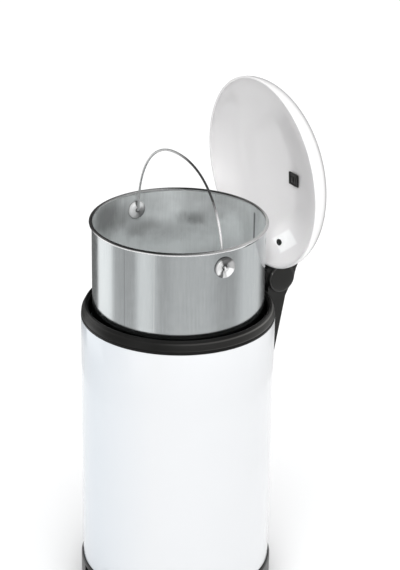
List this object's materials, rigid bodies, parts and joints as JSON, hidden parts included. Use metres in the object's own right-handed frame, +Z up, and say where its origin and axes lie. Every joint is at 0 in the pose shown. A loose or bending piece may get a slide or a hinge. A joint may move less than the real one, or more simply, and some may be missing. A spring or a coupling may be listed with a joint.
{
  "type": "pedal trash can",
  "caption": "Cylindrical pedal trash can with a domed lid hinged at the back and a lift-out steel bucket with a wire bail.",
  "frame": {"origin": "on the floor, at the middle of the base plate's underside and on the body's axis", "axes": "+Z up, -Y towards the pedal at the front, +Y towards the lid's hinge at the back, +X to the right seen from the front"},
  "size_m": [0.298, 0.4158, 0.8068],
  "materials": {
    "white_enamel": "gloss white enamel",
    "black_plastic": "fine satin moulded black",
    "pedal_rubber": "matt ribbed black",
    "zinc_steel": "bright galvanised sheet with soft upright bands",
    "bright_steel": "bright plated steel"
  },
  "bodies": {
    "can": {"body_shell": "white_enamel", "base_ring": "black_plastic", "base_plate": "black_plastic", "bucket_seat": "zinc_steel", "top_collar": "black_plastic", "hinge_bracket": "black_plastic", "bracket_screw_upper_left": "bright_steel", "bracket_screw_upper_right": "bright_steel", "bracket_screw_lower_left": "bright_steel", "bracket_screw_lower_right": "bright_steel", "hinge_pin": "bright_steel", "hinge_cap_left": "black_plastic", "hinge_cap_right": "black_plastic", "rod_guide_lower": "black_plastic", "rod_guide_upper": "black_plastic", "pedal_pivot_pin": "bright_steel", "pivot_bracket_left": "zinc_steel", "pivot_bracket_right": "zinc_steel", "pivot_clip_left": "bright_steel", "pivot_clip_right": "bright_steel"},
    "lid": {"lid_shell": "white_enamel", "lid_arm": "black_plastic", "lid_arm_screw": "black_plastic", "lid_clip": "black_plastic"},
    "rod": {"lift_rod": "bright_steel", "rod_nut": "bright_steel"},
    "pedal": {"pedal_lever": "zinc_steel", "pedal_pad": "pedal_rubber"},
    "bucket": {"bucket_shell": "zinc_steel", "bucket_rim": "zinc_steel", "bucket_bottom": "zinc_steel", "ear_outer_left": "bright_steel", "ear_outer_right": "bright_steel", "ear_inner_left": "bright_steel", "ear_inner_right": "bright_steel"},
    "bail": {"bail_wire": "bright_steel"}
  },
  "joints": [
    {"name": "lid_hinge", "type": "hinge", "parent": "can", "child": "lid", "pos_m": [0, 0.1675, 0.493], "axis": [1, 0, 0], "range_deg": [0, 87.1]},
    {"name": "rod_slide", "type": "slide", "parent": "can", "child": "rod", "axis": [0, 0, 1], "range_m": [-0.0152, 0]},
    {"name": "pedal_pivot", "type": "hinge", "parent": "can", "child": "pedal", "pos_m": [0, 0.048, 0.028], "axis": [1, 0, 0], "range_deg": [-9.72, 0]},
    {"name": "bucket_lift", "type": "slide", "parent": "can", "child": "bucket", "axis": [0, 0, 1], "range_m": [-0.1881, 0]},
    {"name": "bail_swing", "type": "hinge", "parent": "bucket", "child": "bail", "pos_m": [0, 0, 0.584], "axis": [1, 0, 0], "range_deg": [-69, 69]}
  ],
  "couplings": [
    {"joint": "rod_slide", "follows": "lid_hinge", "m_per_rad": -0.009971},
    {"joint": "pedal_pivot", "follows": "lid_hinge", "ratio": -0.11154},
    {"joint": "bucket_lift", "follows": "lid_hinge", "m_per_rad": -0.12367}
  ]
}
